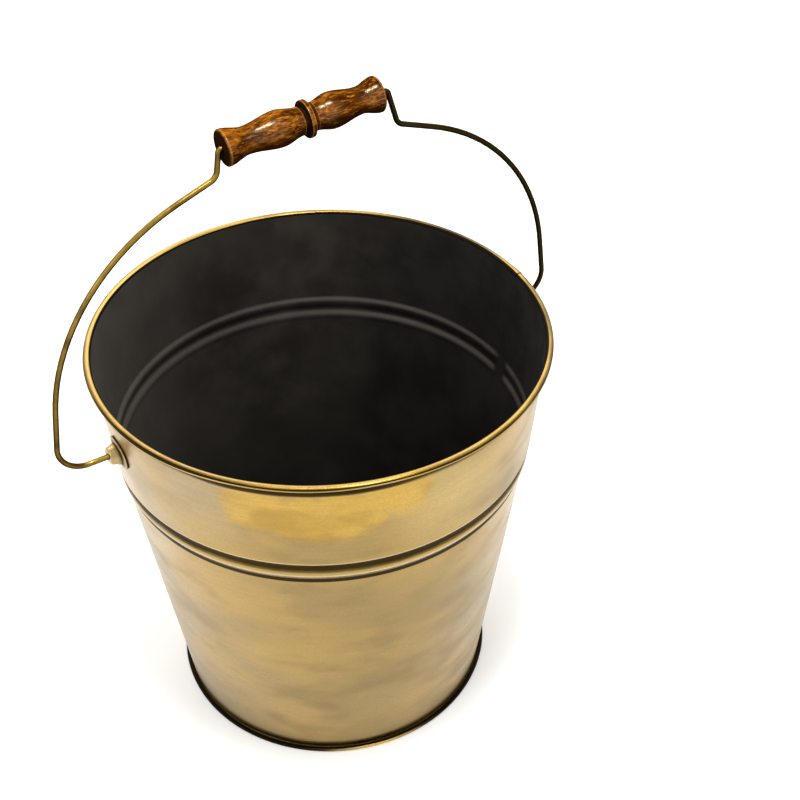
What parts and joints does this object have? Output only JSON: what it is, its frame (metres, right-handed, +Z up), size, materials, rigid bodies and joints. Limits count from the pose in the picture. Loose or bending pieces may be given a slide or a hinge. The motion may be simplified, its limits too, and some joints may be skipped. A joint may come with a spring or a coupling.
{
  "type": "log bucket",
  "caption": "Tapered brass-finished log bucket, black inside, with rolled beads, a wired rim, a hemmed foot and a swinging wire bail with a turned wooden grip.",
  "frame": {"origin": "middle of the foot, on the surface that the bucket stands on", "axes": "+Z up the bucket's axis, X through the two bail ears, -Y towards the front"},
  "size_m": [0.3768, 0.311, 0.4683],
  "materials": {
    "aged_brass": "brushed, hand-antiqued brass plating with darker patina in the grooves",
    "black_paint": "matt black paint, slightly mottled",
    "bare_steel": "plain drawn steel",
    "wire_finish": "dark antiqued brass-plated wire",
    "lacquered_wood": "red-brown stained hardwood under gloss lacquer"
  },
  "bodies": {
    "bucket": {"body_wall": "aged_brass", "rim_wire": "bare_steel", "base_pan": "aged_brass", "ear_right": "aged_brass", "ear_left": "aged_brass"},
    "bail": {"bail_wire": "wire_finish"},
    "grip": {"grip": "lacquered_wood"}
  },
  "joints": [
    {"name": "bail_swing", "type": "hinge", "parent": "bucket", "child": "bail", "pos_m": [0, 0, 0.2618], "axis": [1, 0, 0], "range_deg": [-131, 131]},
    {"name": "grip_spin", "type": "hinge", "parent": "bail", "child": "grip", "pos_m": [-0.0023, 0, 0.4541], "axis": [0.9982, 0, 0.0593], "continuous": true}
  ]
}
